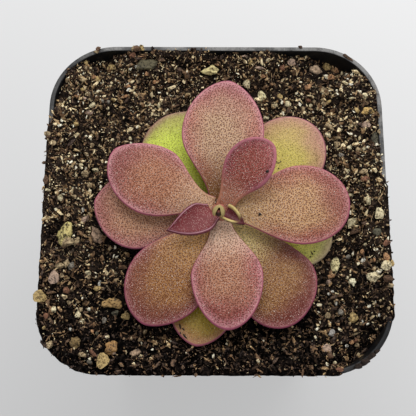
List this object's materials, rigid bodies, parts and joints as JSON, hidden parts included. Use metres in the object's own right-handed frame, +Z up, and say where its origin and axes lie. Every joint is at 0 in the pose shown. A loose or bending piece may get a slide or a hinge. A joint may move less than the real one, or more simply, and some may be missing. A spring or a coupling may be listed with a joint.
{
  "type": "butterwort in a nursery pot",
  "caption": "Low rosette of thick, sticky pink and green leaves growing in gritty peat in a square black nursery pot.",
  "frame": {"origin": "middle of the pot's underside, on the surface it stands on", "axes": "+Z up through the plant, +X to the right and +Y to the back, both square to the pot's sides"},
  "size_m": [0.076, 0.076, 0.0823],
  "materials": {
    "pot_plastic": "satin black injection-moulded plastic, dusty at the rim",
    "peat": "damp dark peat with sand and fibres, very rough",
    "pumice": "dry porous grain, matt",
    "perlite": "dry porous grain, matt",
    "bark": "weathered bark flake, matt",
    "stem": "fleshy, satin",
    "leaf_lowest": "fleshy leaf, satin and sticky with fine glands",
    "leaf_low": "fleshy leaf, satin and sticky with fine glands",
    "leaf_upper": "fleshy leaf, satin and sticky with fine glands",
    "leaf_young": "fleshy wine-red leaf, satin",
    "leaf_bud": "fleshy dark red leaf with a yellowish margin"
  },
  "bodies": {
    "root": {"pot": "pot_plastic", "soil": "peat", "pumice_back": "pumice", "pumice_back_right": "pumice", "pumice_far_right": "pumice", "bark_back_left": "bark", "pumice_right": "pumice", "pumice_left": "pumice", "pumice_near_left_leaf": "pumice", "pumice_front_left": "pumice", "pumice_front_corner": "pumice", "pumice_front": "pumice", "pumice_corner_left": "pumice", "pumice_right_leaf": "pumice", "perlite_right": "perlite", "perlite_front_right": "perlite", "crown": "stem", "leaf_lowest_back_left": "leaf_lowest", "leaf_lowest_back_right": "leaf_lowest", "leaf_lowest_right": "leaf_lowest", "leaf_lowest_front": "leaf_lowest", "leaf_low_left": "leaf_low", "leaf_low_front_right": "leaf_low", "leaf_low_front_left": "leaf_low", "leaf_upper_front": "leaf_upper", "leaf_upper_back": "leaf_upper", "leaf_upper_right": "leaf_upper", "leaf_upper_left": "leaf_upper", "leaf_young_back_right": "leaf_young", "leaf_young_left": "leaf_young", "leaf_bud_right": "leaf_bud", "leaf_bud_centre": "leaf_bud"}
  },
  "joints": []
}
